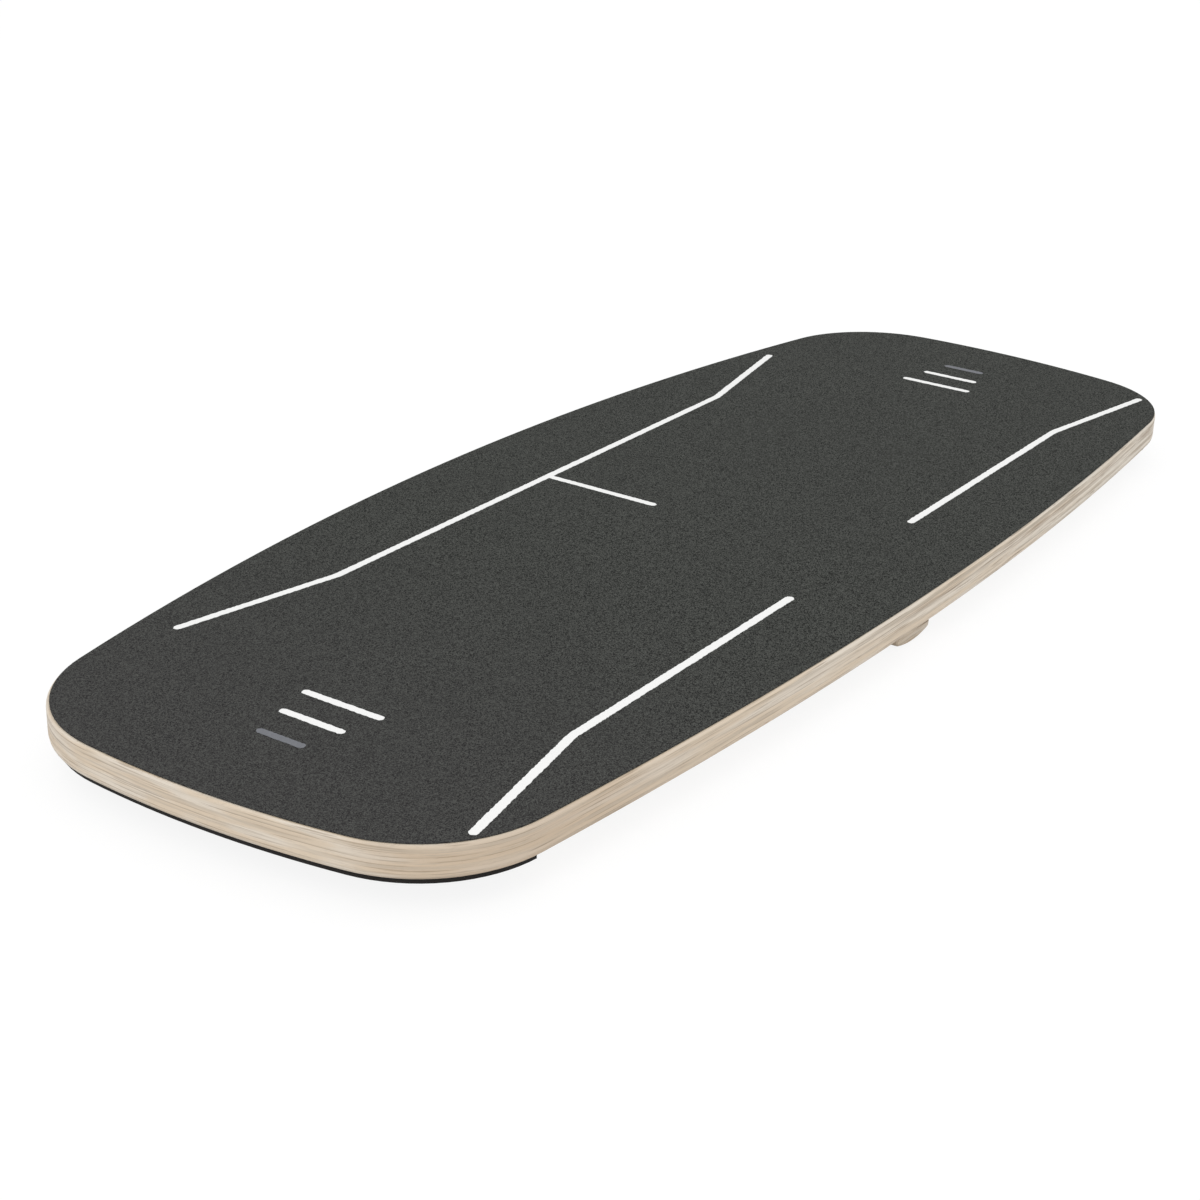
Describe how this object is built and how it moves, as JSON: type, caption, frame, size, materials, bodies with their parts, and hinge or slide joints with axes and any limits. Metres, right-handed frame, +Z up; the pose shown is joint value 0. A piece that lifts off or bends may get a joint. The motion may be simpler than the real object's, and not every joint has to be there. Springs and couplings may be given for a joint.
{
  "type": "balance board",
  "caption": "Bowed rectangular plywood balance board with a grip sheet on top, a crowned rocker bar across the middle underneath and a thin rubber pad under each end.",
  "frame": {"origin": "on the floor under the middle of the deck, where the rocker touches it", "axes": "+X along the board, +Y to the toe side, +Z up"},
  "size_m": [0.8, 0.32, 0.0351],
  "materials": {
    "plywood": "sanded, clear matt lacquer",
    "grip": "fine abrasive grit, printed lines",
    "rubber": "matt",
    "screw_steel": "zinc plated"
  },
  "bodies": {
    "root": {"deck": "plywood", "grip_sheet": "grip", "rocker_bar": "plywood", "end_pad_near": "rubber", "end_pad_far": "rubber", "rocker_screw_1": "screw_steel", "rocker_screw_2": "screw_steel", "rocker_screw_3": "screw_steel", "rocker_screw_4": "screw_steel", "rocker_screw_5": "screw_steel", "rocker_screw_6": "screw_steel"}
  },
  "joints": []
}
